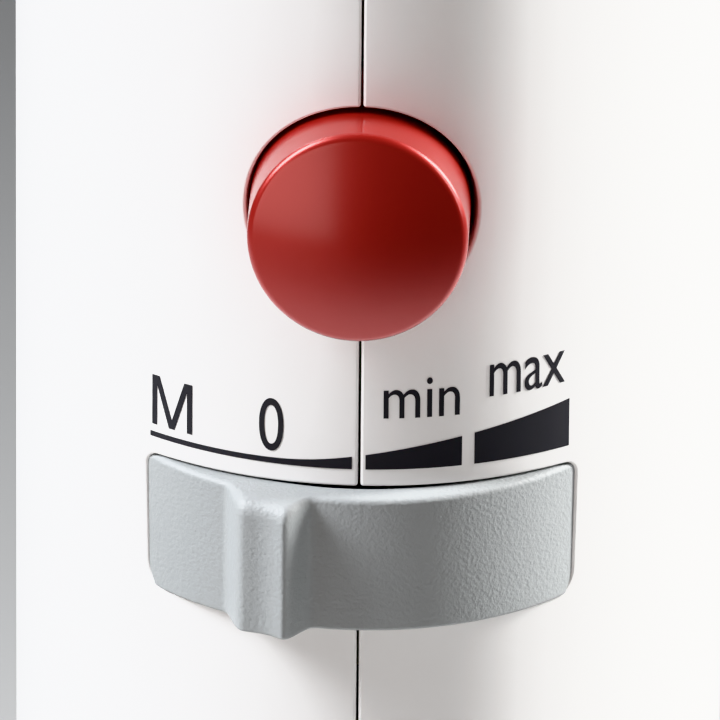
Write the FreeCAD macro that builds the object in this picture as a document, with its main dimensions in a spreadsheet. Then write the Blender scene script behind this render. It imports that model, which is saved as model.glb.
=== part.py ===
import FreeCAD, Part
import math
import os

import Sketcher

# A hand blender that stands upright on its bell: a round handle in two half shells with the
# motor and the controls inside, and a pull-off foot with the blade. Millimetres, +Z up, the
# controls face -Y, and the origin is at the middle of the bell's rim.

V = FreeCAD.Vector
doc = FreeCAD.newDocument("HandBlender")
sheet = doc.addObject("Spreadsheet::Sheet", "sizes")


class Dim:
    """A length that knows its number and the sheet formula that gives it."""

    def __init__(self, value, text):
        self.value = float(value)
        self.text = text

    def __add__(self, other):
        other = dim(other)
        return Dim(self.value + other.value, "(%s + %s)" % (self.text, other.text))

    def __sub__(self, other):
        other = dim(other)
        return Dim(self.value - other.value, "(%s - %s)" % (self.text, other.text))

    def __mul__(self, other):
        other = dim(other)
        return Dim(self.value * other.value, "(%s * %s)" % (self.text, other.text))

    def __truediv__(self, other):
        other = dim(other)
        return Dim(self.value / other.value, "(%s / %s)" % (self.text, other.text))

    def __neg__(self):
        return self * -1

    def root(self):
        return Dim(math.sqrt(self.value), "sqrt(%s)" % self.text)


def dim(value):
    """A plain number as a Dim, so that both kinds mix in a formula."""
    if isinstance(value, Dim):
        return value
    return Dim(value, "(%s)" % repr(float(value)))


class Sizes:
    """The driving dimensions, one attribute for each cell of the sheet."""


S = Sizes()
SIZES = (
    ("body_radius", 31, "handle's outer radius beside the controls"),
    ("wall", 2.2, "wall of the half shells and the top cap"),
    ("handle_low", 205, "height of the handle's lower end"),
    ("handle_low_radius", 28, "handle's outer radius at its lower end"),
    ("taper_top", 265, "height where the handle becomes straight"),
    ("shell_top", 382, "height where the half shells end under the cap"),
    ("cap_height", 18, "height of the top cap"),
    ("cap_round", 13, "rounding of the top cap's edge"),
    ("button_height", 345, "height of the release button's middle"),
    ("button_radius", 9.42, "release button's radius"),
    ("button_gap", 0.55, "gap round the release button"),
    ("button_proud", 6.6, "how far the button's dome stands out of the shell"),
    ("button_travel", 4, "stroke of the button and of the ejector"),
    ("plunger_radius", 4, "radius of the plunger behind the button"),
    ("window_drop", 25.7, "from the button's middle down to the window's upper edge"),
    ("window_tall", 12.6, "height of the speed window"),
    ("window_half", 18.4, "half the width of the speed window"),
    ("drum_radius", 23.5, "outer radius of the speed drum"),
    ("drum_proud", 1.9, "how far the drum stands out of the shell at the front"),
    ("drum_wall", 1.8, "wall of the speed drum's band"),
    ("grip_rise", 2.1, "height of the thumb grip on the drum"),
    ("pin_radius", 2, "radius of the drum's pivot pin"),
    ("running", 0.04, "radial clearance of a shaft in its bearing"),
    ("apart", 0.3, "gap between pieces that move past each other"),
    ("motor_low", 234, "height of the lower motor frame"),
    ("motor_radius", 21, "outer radius of the motor"),
    ("stack_low", 249, "height of the stator's lower face"),
    ("stack_tall", 26, "length of the stator"),
    ("armature_radius", 11.8, "radius of the rotor's iron"),
    ("air_gap", 0.4, "gap between rotor and stator"),
    ("shaft_radius", 3, "radius of the motor's shaft"),
    ("rod_radius", 1.6, "radius of the ejector rod"),
    ("rod_reach", 23.8, "from the handle's axis to the ejector rod"),
    ("neck_radius", 17.5, "outer radius of the foot's neck"),
    ("neck_tall", 17, "height of the foot's neck above the handle's end"),
    ("collar_tall", 45, "height of the foot's collar below the handle"),
    ("tube_radius", 12.5, "outer radius of the foot's tube"),
    ("tube_wall", 0.8, "wall of the foot's tube"),
    ("bell_radius", 36, "outer radius of the bell's rim"),
    ("bell_tall", 50, "height where the bell meets the tube"),
    ("bell_sheet", 1, "thickness of the bell's sheet"),
    ("slot_half", 9, "half the width of an opening in the bell's rim"),
    ("slot_tall", 11, "height of an opening in the bell's rim"),
    ("spindle_radius", 4, "radius of the blade's drive shaft"),
    ("blade_height", 10.5, "height of the blade's hub above the rim"),
    ("blade_reach", 22, "from the axis to the blade's tip"),
)
for row, (name, value, note) in enumerate(SIZES, 1):
    sheet.set("A%d" % row, name)
    sheet.set("B%d" % row, str(value))
    sheet.setAlias("B%d" % row, name)
    sheet.set("C%d" % row, note)
    setattr(S, name, Dim(value, "sizes." + name))
doc.recompute()

nodes = []


# ---------------------------------------------------------------- drawing helpers

def bind(item, path, length):
    """Ties a property of an object to the sheet, if its length comes from the sheet."""
    if "sizes." in length.text:
        item.setExpression(path, length.text)


def left(radius):
    """An edge that bends to the left round an arc of this radius."""
    return dim(radius), 1


def right(radius):
    """An edge that bends to the right round an arc of this radius."""
    return dim(radius), -1


def new_body(label):
    """A PartDesign body that becomes one node of the part."""
    body = doc.addObject("PartDesign::Body", label)
    body.Label = label
    nodes.append(body)
    return body


def place(body, spot, axis=(0, 0, 1), angle=0):
    """Puts a body at a spot given as three lengths, turned about an axis."""
    spot = [dim(length) for length in spot]
    swing = FreeCAD.Rotation(V(*axis), angle)
    body.Placement = FreeCAD.Placement(V(*[length.value for length in spot]), swing)
    for letter, length in zip("xyz", spot):
        bind(body, "Placement.Base." + letter, length)


def new_sketch(body, role, height):
    """An empty sketch on one of the body's origin planes, raised by a height."""
    height = dim(height)
    sketch = body.newObject("Sketcher::SketchObject", body.Label + "_sketch")
    plane = [item for item in body.Origin.OriginFeatures if item.Role == role][0]
    sketch.AttachmentSupport = (plane, [""])
    sketch.MapMode = "FlatFace"
    sketch.AttachmentOffset = FreeCAD.Placement(V(0, 0, height.value), FreeCAD.Rotation())
    bind(sketch, "AttachmentOffset.Base.z", height)
    return sketch


def fix_point(sketch, edge, end, x, y):
    """Dimensions one end of an edge from the sketch's axes."""
    for kind, length, axis in (("DistanceX", x, -2), ("DistanceY", y, -1)):
        if abs(length.value) < 1e-9:
            sketch.addConstraint(Sketcher.Constraint("PointOnObject", edge, end, axis))
            continue
        rule = Sketcher.Constraint(kind, -1, 1, edge, end, length.value)
        number = sketch.addConstraint(rule)
        bind(sketch, "Constraints[%d]" % number, length)


def arc_edge(start, end, radius, side):
    """The short arc from start to end whose centre lies on the given side."""
    chord = end - start
    across = V(-chord.y, chord.x, 0).normalize() * side
    depth = math.sqrt(max(radius * radius - chord.Length ** 2 / 4, 0))
    centre = (start + end) * 0.5 + across * depth
    first, last = (start, end) if side > 0 else (end, start)
    angles = [math.atan2(point.y - centre.y, point.x - centre.x) for point in (first, last)]
    if angles[1] < angles[0]:
        angles[1] += 2 * math.pi
    return Part.ArcOfCircle(Part.Circle(centre, V(0, 0, 1), radius), *angles)


def outline(body, role, points, height=0):
    """A closed sketch through points (x, y) or (x, y, bend of the edge that leaves it)."""
    sketch = new_sketch(body, role, height)
    corners = [(dim(point[0]), dim(point[1])) for point in points]
    ends = []
    for index, point in enumerate(points):
        x, y = corners[index]
        next_x, next_y = corners[(index + 1) % len(points)]
        start, end = V(x.value, y.value, 0), V(next_x.value, next_y.value, 0)
        if len(point) == 2:
            sketch.addGeometry(Part.LineSegment(start, end), False)
            ends.append((1, 2))
        else:
            radius, side = point[2]
            sketch.addGeometry(arc_edge(start, end, radius.value, side), False)
            ends.append((1, 2) if side > 0 else (2, 1))
    for index, point in enumerate(points):
        after = (index + 1) % len(points)
        rule = Sketcher.Constraint("Coincident", index, ends[index][1], after, ends[after][0])
        sketch.addConstraint(rule)
    for index, point in enumerate(points):
        fix_point(sketch, index, ends[index][0], *corners[index])
        if len(point) == 3:
            radius = point[2][0]
            number = sketch.addConstraint(Sketcher.Constraint("Radius", index, radius.value))
            bind(sketch, "Constraints[%d]" % number, radius)
    return sketch


def circles(body, role, spots, height=0):
    """A sketch of circles, each given as (x, y, radius)."""
    sketch = new_sketch(body, role, height)
    for index, (x, y, radius) in enumerate(spots):
        x, y, radius = dim(x), dim(y), dim(radius)
        centre = V(x.value, y.value, 0)
        sketch.addGeometry(Part.Circle(centre, V(0, 0, 1), radius.value), False)
        fix_point(sketch, index, 3, x, y)
        number = sketch.addConstraint(Sketcher.Constraint("Radius", index, radius.value))
        bind(sketch, "Constraints[%d]" % number, radius)
    return sketch


def rectangle(body, role, low, high, height=0):
    """A sketch of one rectangle between two corners."""
    points = [low, (high[0], low[1]), high, (low[0], high[1])]
    return outline(body, role, points, height)


def sector(inner, outer, start, end, middle=(0, 0)):
    """The corners of a ring's sector between two angles from -Y, counted towards +X."""
    middle = [dim(length) for length in middle]
    half = (start + end) / 2

    def corner(radius, angle):
        swing = math.radians(angle)
        x = middle[0] + dim(radius) * math.sin(swing)
        y = middle[1] - dim(radius) * math.cos(swing)
        return x, y

    return [
        corner(outer, start) + (left(outer),),
        corner(outer, half) + (left(outer),),
        corner(outer, end),
        corner(inner, end) + (right(inner),),
        corner(inner, half) + (right(inner),),
        corner(inner, start),
    ]


# ---------------------------------------------------------------- solid features

def grow(body, sketch, length, both_ways=False, backwards=False):
    """Pads a sketch by a length."""
    length = dim(length)
    feature = body.newObject("PartDesign::Pad", body.Label + "_pad")
    feature.Profile = sketch
    feature.Length = length.value
    bind(feature, "Length", length)
    feature.Midplane = both_ways
    feature.Reversed = backwards
    doc.recompute()
    return feature


def cut(body, sketch, length, both_ways=False, backwards=False):
    """Pockets a sketch into the body by a length, and checks that material went."""
    before = body.Shape.Volume
    length = dim(length)
    feature = body.newObject("PartDesign::Pocket", body.Label + "_pocket")
    feature.Profile = sketch
    feature.Length = length.value
    bind(feature, "Length", length)
    feature.Midplane = both_ways
    feature.Reversed = backwards
    doc.recompute()
    if not body.Shape.Volume < before - 0.01:
        raise RuntimeError("a pocket in %s cuts nothing" % body.Label)
    return feature


def turn(body, sketch, angle=360, backwards=False):
    """Revolves a sketch about its own vertical axis."""
    feature = body.newObject("PartDesign::Revolution", body.Label + "_turned")
    feature.Profile = sketch
    feature.ReferenceAxis = (sketch, ["V_Axis"])
    feature.Angle = angle
    feature.Reversed = backwards
    doc.recompute()
    return feature


def groove(body, sketch):
    """Turns a sketch about its own vertical axis out of the body."""
    before = body.Shape.Volume
    feature = body.newObject("PartDesign::Groove", body.Label + "_groove")
    feature.Profile = sketch
    feature.ReferenceAxis = (sketch, ["V_Axis"])
    feature.Angle = 360
    doc.recompute()
    if not body.Shape.Volume < before - 0.01:
        raise RuntimeError("a groove in %s cuts nothing" % body.Label)
    return feature


def around(body, feature, count):
    """Repeats a feature round the body's vertical axis."""
    pattern = body.newObject("PartDesign::PolarPattern", body.Label + "_pattern")
    pattern.Originals = [feature]
    axis = [item for item in body.Origin.OriginFeatures if item.Role == "Z_Axis"][0]
    pattern.Axis = (axis, [""])
    pattern.Angle = 360
    pattern.Occurrences = count
    body.Tip = pattern
    doc.recompute()
    return pattern


def ring(label, inner, outer, low, tall):
    """A plain ring or disc about the handle's axis."""
    inner, outer, low, high = dim(inner), dim(outer), dim(low), dim(low) + tall
    body = new_body(label)
    points = [(inner, low), (outer, low), (outer, high), (inner, high)]
    turn(body, outline(body, "XZ_Plane", points))
    return body


def rods(label, role, spots, height, length, both_ways=False):
    """Round bars of one kind in one node, each given as (x, y, radius)."""
    body = new_body(label)
    body.AllowCompound = True
    grow(body, circles(body, role, spots, height), length, both_ways)
    return body


def block(label, low, high, height, tall):
    """A rectangular block standing on a height."""
    body = new_body(label)
    grow(body, rectangle(body, "XY_Plane", low, high, height), tall)
    return body


# ---------------------------------------------------------------- derived places

INNER = S.body_radius - S.wall
CAP_TOP = S.shell_top + S.cap_height
BUTTON_HOLE = S.button_radius + S.button_gap
BUTTON_FACE = S.body_radius + S.button_proud
WINDOW_TOP = S.button_height - S.window_drop
WINDOW_LOW = WINDOW_TOP - S.window_tall
DRUM_BACK = S.body_radius + S.drum_proud - S.drum_radius
DRUM_LOW = WINDOW_LOW + S.apart
DRUM_TALL = S.window_tall - S.apart * 2
CRADLE_TOP = WINDOW_LOW - 3.7
BOARD_LOW = WINDOW_TOP + 7.7
STACK_TOP = S.stack_low + S.stack_tall
COMMUTATOR_LOW = STACK_TOP + 5.5
FRAME_HIGH = STACK_TOP + 15
NECK_TOP = S.handle_low + S.neck_tall
SOCKET_TOP = NECK_TOP + 2
EJECTOR_LOW = NECK_TOP + S.apart
COLLAR_LOW = S.handle_low - S.collar_tall
COLLAR_TOP = S.handle_low - S.apart
DRUM_START, DRUM_END = -109, 78


def half_chord(radius, offset):
    """Half the width of a circle at an offset from its middle."""
    radius, offset = dim(radius), dim(offset)
    return (radius * radius - offset * offset).root()


def double_bend(wide, narrow, tall, share):
    """An S-shaped line that is upright at both ends: its two radii and where they meet.

    The line goes from the wide radius to the narrow one over the height tall. The first
    bend takes the given share of the two radii's sum, and the meeting place is given as
    (radius, distance along the axis from the wide end).
    """
    step = wide - narrow
    total = (step * step + tall * tall) / (step * 2)
    return total * share, total * (1 - share), (wide - step * share, tall * share)


# ---------------------------------------------------------------- handle shells

# Two moulded half shells that meet on the plane X = 0. They are straight beside the
# controls, taper towards the foot, and take their shape from one section.
taper = S.taper_top - S.handle_low
taper_step = S.body_radius - S.handle_low_radius
taper_radius = (taper * taper + taper_step * taper_step) / (taper_step * 2)
shell_section = [
    (S.handle_low_radius, S.handle_low, left(taper_radius)),
    (S.body_radius, S.taper_top),
    (S.body_radius, S.shell_top),
    (INNER, S.shell_top),
    (INNER, S.taper_top, right(taper_radius - S.wall)),
    (S.handle_low_radius - S.wall, S.handle_low),
]
# Each pin's y and z, and the radius in the shell's wall that its boss reaches.
IN_WALL = INNER + 0.6
PIN_SPOTS = (
    (-S.neck_radius - 4.5, SOCKET_TOP + 4.5, (S.handle_low_radius + S.body_radius) / 2),
    (-INNER + 4, S.stack_low + 21, IN_WALL),
    (12, S.button_height + 13, IN_WALL),
    (-14, S.shell_top - 10, IN_WALL),
)
BOSS_RADIUS = 2.6
DOWEL_RADIUS = 1.2
DOWEL_LONG = 12


def make_shell(label, mirrored):
    """One half shell with its window, button hole and pin bosses."""
    body = new_body(label)
    turn(body, outline(body, "YZ_Plane", shell_section), 180, mirrored)
    for y, z, wall_radius in PIN_SPOTS:
        spot = [(y, z, BOSS_RADIUS)]
        far_side = dim(y) + math.copysign(BOSS_RADIUS, dim(y).value)
        reach = half_chord(wall_radius, far_side)
        grow(body, circles(body, "YZ_Plane", spot), reach, False, not mirrored)
        cut(body, circles(body, "YZ_Plane", [(y, z, DOWEL_RADIUS)]), DOWEL_LONG, True)
    hole = circles(body, "XZ_Plane", [(0, S.button_height, BUTTON_HOLE)])
    cut(body, hole, S.body_radius + 5, False, True)
    low, high = (-S.window_half, WINDOW_LOW), (S.window_half, WINDOW_TOP)
    cut(body, rectangle(body, "XZ_Plane", low, high), S.body_radius + 5, False, True)
    # The wall is thinned beside the window, where the drum passes behind it.
    relief = [(0, -DRUM_BACK, S.drum_radius + S.apart)]
    cut(body, circles(body, "XY_Plane", relief, WINDOW_LOW), S.window_tall, False, True)
    return body


make_shell("housing_left", False)
make_shell("housing_right", True)

# Steel dowels that line the half shells up along the seam.
rods("housing_pins", "YZ_Plane", [(y, z, DOWEL_RADIUS) for y, z, _ in PIN_SPOTS], 0,
     DOWEL_LONG, True)

# The cap is a dome with a spigot that holds the shells together at the top.
GLAND_HOLE = 6.2
cap = new_body("top_cap")
cap_flat = S.body_radius - S.cap_round
cap_rise = CAP_TOP - S.cap_round
turn(cap, outline(cap, "XZ_Plane", [
    (INNER - 2.2, S.shell_top - 6),
    (INNER - 0.15, S.shell_top - 6),
    (INNER - 0.15, S.shell_top),
    (S.body_radius, S.shell_top),
    (S.body_radius, cap_rise, left(S.cap_round)),
    (cap_flat, CAP_TOP),
    (GLAND_HOLE, CAP_TOP),
    (GLAND_HOLE, CAP_TOP - S.wall),
    (cap_flat, CAP_TOP - S.wall, right(S.cap_round - S.wall)),
    (INNER, cap_rise),
    (INNER - 2.2, cap_rise - 2.2),
]))

# A rubber grommet in the cap's middle is the cord's inlet.
CORD_BORE = 3.6
gland = new_body("cord_gland")
turn(gland, outline(gland, "XZ_Plane", [
    (CORD_BORE, CAP_TOP - S.wall - 2.4),
    (GLAND_HOLE + 1.6, CAP_TOP - S.wall - 2.4),
    (GLAND_HOLE + 1.6, CAP_TOP - S.wall),
    (GLAND_HOLE, CAP_TOP - S.wall),
    (GLAND_HOLE, CAP_TOP),
    (GLAND_HOLE + 1.8, CAP_TOP),
    (GLAND_HOLE + 0.8, CAP_TOP + 2.4),
    (CORD_BORE, CAP_TOP + 2.4),
]))

# ---------------------------------------------------------------- mains side

CLAMP_LOW = S.shell_top - 1
clamp = block("cord_clamp", (-13, -4), (13, 4), CLAMP_LOW, 4.5)
cut(clamp, circles(clamp, "XZ_Plane", [(0, CLAMP_LOW + 5.5, CORD_BORE)]), 20, True)
cut(clamp, circles(clamp, "XY_Plane", [(-9, 0, 1.5), (9, 0, 1.5)], CLAMP_LOW), 10,
    False, True)
rods("clamp_screws", "XY_Plane", [(-9, 0, 1.4), (9, 0, 1.4)], CLAMP_LOW - 5, 11)

TERMINAL_LOW = S.shell_top - 15
terminal = block("terminal_block", (-11, 3), (11, 13), TERMINAL_LOW, 8)
cut(terminal, circles(terminal, "XY_Plane", [(-6, 8, 1.8), (6, 8, 1.8)], TERMINAL_LOW), 8,
    False, True)
rods("supply_leads", "XY_Plane", [(-6, 8, 1.1), (6, 8, 1.1)], BOARD_LOW + 1.6,
     TERMINAL_LOW + 5 - BOARD_LOW - 1.6)

# ---------------------------------------------------------------- speed control

# The cradle is a floor across the shells. It holds the drum's pivot pin.
FLOOR_RADIUS = INNER - 0.2
ROD_SLOT = 3.6
cradle = new_body("drum_cradle")
grow(cradle, circles(cradle, "XY_Plane", [(0, 0, FLOOR_RADIUS)], CRADLE_TOP - 2), 2)
ROD_NOTCH = ((-ROD_SLOT, S.rod_reach - ROD_SLOT), (ROD_SLOT, S.body_radius))
LEAD_X, LEAD_Y = 19, 10
floor_holes = [(0, -DRUM_BACK, S.pin_radius), (-LEAD_X, LEAD_Y, 1.6), (LEAD_X, LEAD_Y, 1.6)]


def open_floor(body, low, tall):
    """Cuts the rod's notch and the holes of a floor plate."""
    cut(body, rectangle(body, "XY_Plane", ROD_NOTCH[0], ROD_NOTCH[1], low), tall, False, True)
    cut(body, circles(body, "XY_Plane", floor_holes, low), tall, False, True)


open_floor(cradle, CRADLE_TOP - 2, 2)

rods("drum_pivot_pin", "XY_Plane", [(0, -DRUM_BACK, S.pin_radius)], CRADLE_TOP - 2,
     BOARD_LOW + 1.6 - CRADLE_TOP + 2)

board = new_body("control_board")
grow(board, circles(board, "XY_Plane", [(0, 0, FLOOR_RADIUS - 0.5)], BOARD_LOW), 1.6)
open_floor(board, BOARD_LOW, 1.6)

# The sensor ring hangs under the board round the pin and reads the wiper's angle.
sensor = new_body("speed_sensor")
grow(sensor, circles(sensor, "XY_Plane", [(0, -DRUM_BACK, 7)], BOARD_LOW - 3.5), 3.5)
cut(sensor, circles(sensor, "XY_Plane", [(0, -DRUM_BACK, S.pin_radius)], BOARD_LOW - 3.5),
    3.5, False, True)

# The drum is a band on a web and a boss that turns on the pin. A ridge across the band is
# the thumb grip: steep on its left, rounded on top and hollow towards its right.
drum = new_body("speed_drum")
middle = (0, -DRUM_BACK)
DRUM_BORE = S.pin_radius + S.running
band = sector(S.drum_radius - S.drum_wall, S.drum_radius, DRUM_START, DRUM_END, middle)
grow(drum, outline(drum, "XY_Plane", band, DRUM_LOW), DRUM_TALL)
web = sector(5, S.drum_radius - S.drum_wall / 2, DRUM_START, DRUM_END, middle)
grow(drum, outline(drum, "XY_Plane", web, DRUM_LOW + DRUM_TALL / 2 - 1.2), 2.4)
BOSS_LOW = CRADLE_TOP + S.apart
BOSS_TOP = BOARD_LOW - 3.5 - 0.9
grow(drum, circles(drum, "XY_Plane", [(0, -DRUM_BACK, 5.6)], BOSS_LOW), BOSS_TOP - BOSS_LOW)


def on_drum(rise, angle):
    """A point on the drum's section, a rise above its band."""
    radius, swing = S.drum_radius + rise, math.radians(angle)
    return radius * math.sin(swing), radius * -math.cos(swing) - DRUM_BACK


grip = [
    on_drum(-1, -28),
    on_drum(0, -27.5),
    on_drum(S.grip_rise * 0.55, -25.5),
    on_drum(S.grip_rise * 0.9, -20.5),
    on_drum(S.grip_rise, -16),
    on_drum(S.grip_rise * 0.9, -13.2),
    on_drum(S.grip_rise * 0.45, -11),
    on_drum(0, -10),
    on_drum(-1, -9.5),
]
grow(drum, outline(drum, "XY_Plane", grip, DRUM_LOW), DRUM_TALL)
cut(drum, circles(drum, "XY_Plane", [(0, -DRUM_BACK, DRUM_BORE)], BOSS_LOW),
    BOSS_TOP - BOSS_LOW, False, True)

# The brass wiper rides on the drum's boss under the sensor.
wiper = new_body("drum_wiper")
grow(wiper, circles(wiper, "XY_Plane", [(0, -DRUM_BACK, 4.6)], BOSS_TOP), 0.6)
cut(wiper, circles(wiper, "XY_Plane", [(0, -DRUM_BACK, DRUM_BORE)], BOSS_TOP), 0.6,
    False, True)

# ---------------------------------------------------------------- electronics

PARTS_LOW = BOARD_LOW + 1.6
capacitor = new_body("capacitor")
place(capacitor, (-15.5, -6, PARTS_LOW + 4.5), (1, 0, 0), -90)
grow(capacitor, circles(capacitor, "XY_Plane", [(0, 0, 4.5)]), 18)

heat_sink = block("heat_sink", (10, -6), (21, 12), PARTS_LOW, 8)
for gap in (12, 14.6, 17.2):
    slot = rectangle(heat_sink, "XY_Plane", (gap, -6), (gap + 1.4, 12), PARTS_LOW + 2)
    cut(heat_sink, slot, 6, False, True)

choke = new_body("choke_coil")
place(choke, (0, 13, PARTS_LOW))
grow(choke, circles(choke, "XY_Plane", [(0, 0, 5.2), (0, 0, 2.2)]), 5)

# ---------------------------------------------------------------- release button

# The button is a domed cup on a flange that stays behind the shell. Its own axis points
# out of the handle: local +Z is the handle's -Y.
button = new_body("eject_button")
place(button, (0, 0, S.button_height), (1, 0, 0), 90)
face = BUTTON_FACE
flange = S.button_radius + 2.2
flange_top = half_chord(INNER, flange) - S.apart
DOME_RISE, EDGE_ROUND = 1.4, 1
dome_reach = S.button_radius - EDGE_ROUND
dome_radius = (dome_reach * dome_reach + DOME_RISE ** 2) / (DOME_RISE * 2)
turn(button, outline(button, "XZ_Plane", [
    (0, face - 2.4),
    (S.button_radius - 1.8, face - 2.4),
    (S.button_radius - 1.8, flange_top - 1.6),
    (flange, flange_top - 1.6),
    (flange, flange_top),
    (S.button_radius, flange_top),
    (S.button_radius, face - DOME_RISE - EDGE_ROUND, left(EDGE_ROUND)),
    (dome_reach, face - DOME_RISE, left(dome_radius)),
    (0, face),
]))

# The plunger carries the button's stroke across the handle. Its far end is cut at 45
# degrees, and pushes the ejector rod down as it goes in.
PLUNGER_BACK = S.rod_reach + 0.2
plunger = new_body("button_plunger")
place(plunger, (0, 0, S.button_height), (1, 0, 0), 90)
plunger_long = face - 2.4 + PLUNGER_BACK
grow(plunger, circles(plunger, "XY_Plane", [(0, 0, S.plunger_radius)], -PLUNGER_BACK),
     plunger_long)
# Seen from the side the ramp runs from the end's top to its underside.
ramp_long = S.plunger_radius * 2
cut(plunger, outline(plunger, "YZ_Plane", [
    (-S.plunger_radius - 1, -PLUNGER_BACK + ramp_long + 1),
    (-S.plunger_radius - 1, -PLUNGER_BACK - 1),
    (S.plunger_radius + 1, -PLUNGER_BACK - 1),
]), 20, True)

guide = block("button_guide", (-8, -14), (8, -8), BOARD_LOW + 1.6,
              S.button_height - BOARD_LOW + 4.9)
cut(guide, circles(guide, "XZ_Plane", [(0, S.button_height, S.plunger_radius + 0.08)], 0),
    40, True)

# A coil spring between the guide and the button's flange pushes the button out again.
SPRING_RADIUS, SPRING_WIRE = 6.2, 0.4
spring = doc.addObject("Part::Feature", "button_spring")
spring.Label = "button_spring"
spring_long = (flange_top - 14).value - 2.4
helix = Part.makeHelix(spring_long / 4.5, spring_long, SPRING_RADIUS)
section = Part.Wire([Part.makeCircle(SPRING_WIRE, V(SPRING_RADIUS, 0, 0), V(0, 1, 0))])
spring.Shape = Part.Wire(helix).makePipeShell([section], True, True)
spring.Placement = FreeCAD.Placement(
    V(0, -14 - SPRING_WIRE - 0.1, S.button_height.value), FreeCAD.Rotation(V(1, 0, 0), 90))
nodes.append(spring)

# ---------------------------------------------------------------- ejector

# The rod comes down the back of the handle to the ejector ring above the foot's neck.
ARM_LOW = SOCKET_TOP + S.button_travel + 0.5
ARM_TALL = 2.7
HEAD_HALF = 3
rod = new_body("ejector_rod")
rod_spot = [(0, S.rod_reach, S.rod_radius)]
ROD_TOP = S.button_height - 6
grow(rod, circles(rod, "XY_Plane", rod_spot, ARM_LOW), ROD_TOP - ARM_LOW + 0.5)
# The ramp's plane is parallel to the plunger's and a small gap below it.
head_front, head_back = S.rod_reach - HEAD_HALF, S.rod_reach + HEAD_HALF
ramp_level = S.button_height + S.plunger_radius - PLUNGER_BACK - S.apart * math.sqrt(2)
head = outline(rod, "YZ_Plane", [
    (head_front, ROD_TOP),
    (head_back, ROD_TOP),
    (head_back, head_back + ramp_level),
    (head_front, head_front + ramp_level),
])
grow(rod, head, HEAD_HALF * 2, True)

ejector = ring("ejector_ring", 12, S.neck_radius - 0.2, EJECTOR_LOW,
               ARM_LOW + ARM_TALL - EJECTOR_LOW)
arm = rectangle(ejector, "XY_Plane", (-4, 15), (4, S.rod_reach + 2.4), ARM_LOW)
grow(ejector, arm, ARM_TALL)
cut(ejector, circles(ejector, "XY_Plane", rod_spot, ARM_LOW), ARM_TALL, False, True)

# ---------------------------------------------------------------- motor

BEARING_RADIUS = 6
BEARING_TALL = 4
FRAME_TALL = 5
BOLT_REACH = 18.3
BOLT_RADIUS = 1.5
bolt_spots = [(0, -BOLT_REACH, BOLT_RADIUS), (0, BOLT_REACH, BOLT_RADIUS)]


def motor_frame(label, low):
    """A moulded end frame with a bearing seat, ribs' openings and bolt holes."""
    body = ring(label, BEARING_RADIUS, S.motor_radius, low, FRAME_TALL)
    window = outline(body, "XY_Plane", sector(9, S.motor_radius - 2.4, 20, 70), low)
    around(body, cut(body, window, FRAME_TALL, False, True), 4)
    cut(body, circles(body, "XY_Plane", bolt_spots, low), FRAME_TALL, False, True)


motor_frame("motor_frame_lower", S.motor_low)
motor_frame("motor_frame_upper", FRAME_HIGH)
SHAFT_BORE = S.shaft_radius + S.running
ring("bearing_lower", SHAFT_BORE, BEARING_RADIUS, S.motor_low + 0.5, BEARING_TALL)
ring("bearing_upper", SHAFT_BORE, BEARING_RADIUS, FRAME_HIGH + 0.5, BEARING_TALL)

stator_bore = S.armature_radius + S.air_gap
stator = ring("stator_core", stator_bore, S.motor_radius, S.stack_low, S.stack_tall)
cut(stator, circles(stator, "XY_Plane", bolt_spots, S.stack_low), S.stack_tall, False, True)

coils = new_body("field_coils")
coils.AllowCompound = True
for low, tall in ((S.stack_low - 2.6, 2.4), (STACK_TOP + 0.2, 4.6)):
    for start in (-60, 120):
        span = sector(stator_bore + 0.6, 16.2, start, start + 120)
        grow(coils, outline(coils, "XY_Plane", span, low), tall)

rods("motor_bolts", "XY_Plane", bolt_spots, S.motor_low, FRAME_HIGH + FRAME_TALL - S.motor_low)

damper_low = S.motor_low + 0.5
dampers = new_body("motor_dampers")
dampers.AllowCompound = True
for low, outer in ((damper_low, S.handle_low_radius - 0.4), (FRAME_HIGH + 0.5, INNER - 0.2)):
    for middle_angle in (-90, 0, 90):
        pad = sector(S.motor_radius, outer, middle_angle - 22, middle_angle + 22)
        grow(dampers, outline(dampers, "XY_Plane", pad, low), 4)

HOLDER_LOW = COMMUTATOR_LOW + 1
HOLDER_TALL = 7
COMMUTATOR_RADIUS = 7
holders = new_body("brush_holders")
holders.AllowCompound = True
brushes = new_body("carbon_brushes")
brushes.AllowCompound = True
for side in (-1, 1):
    near, far = side * (COMMUTATOR_RADIUS + 1.2), side * 20
    low, high = (min(near, far), -4), (max(near, far), 4)
    grow(holders, rectangle(holders, "XY_Plane", low, high, HOLDER_LOW), HOLDER_TALL)
    tip, tail = side * (COMMUTATOR_RADIUS + 0.06), side * 16
    low, high = (min(tip, tail), -2.5), (max(tip, tail), 2.5)
    grow(brushes, rectangle(brushes, "XY_Plane", low, high, HOLDER_LOW + 1.5), HOLDER_TALL - 3)
channel = rectangle(holders, "YZ_Plane", (-2.5, HOLDER_LOW + 1.5),
                    (2.5, HOLDER_LOW + HOLDER_TALL - 1.5))
cut(holders, channel, 38, True)

# Two leads come down from the board beside the drum to the brush holders' tails.
rods("motor_leads", "XY_Plane", [(-LEAD_X, LEAD_Y, 1.1), (LEAD_X, LEAD_Y, 1.1)],
     FRAME_HIGH + FRAME_TALL + 0.2, BOARD_LOW + 1.6 - FRAME_HIGH - FRAME_TALL - 0.2)

# ---------------------------------------------------------------- rotor

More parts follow.
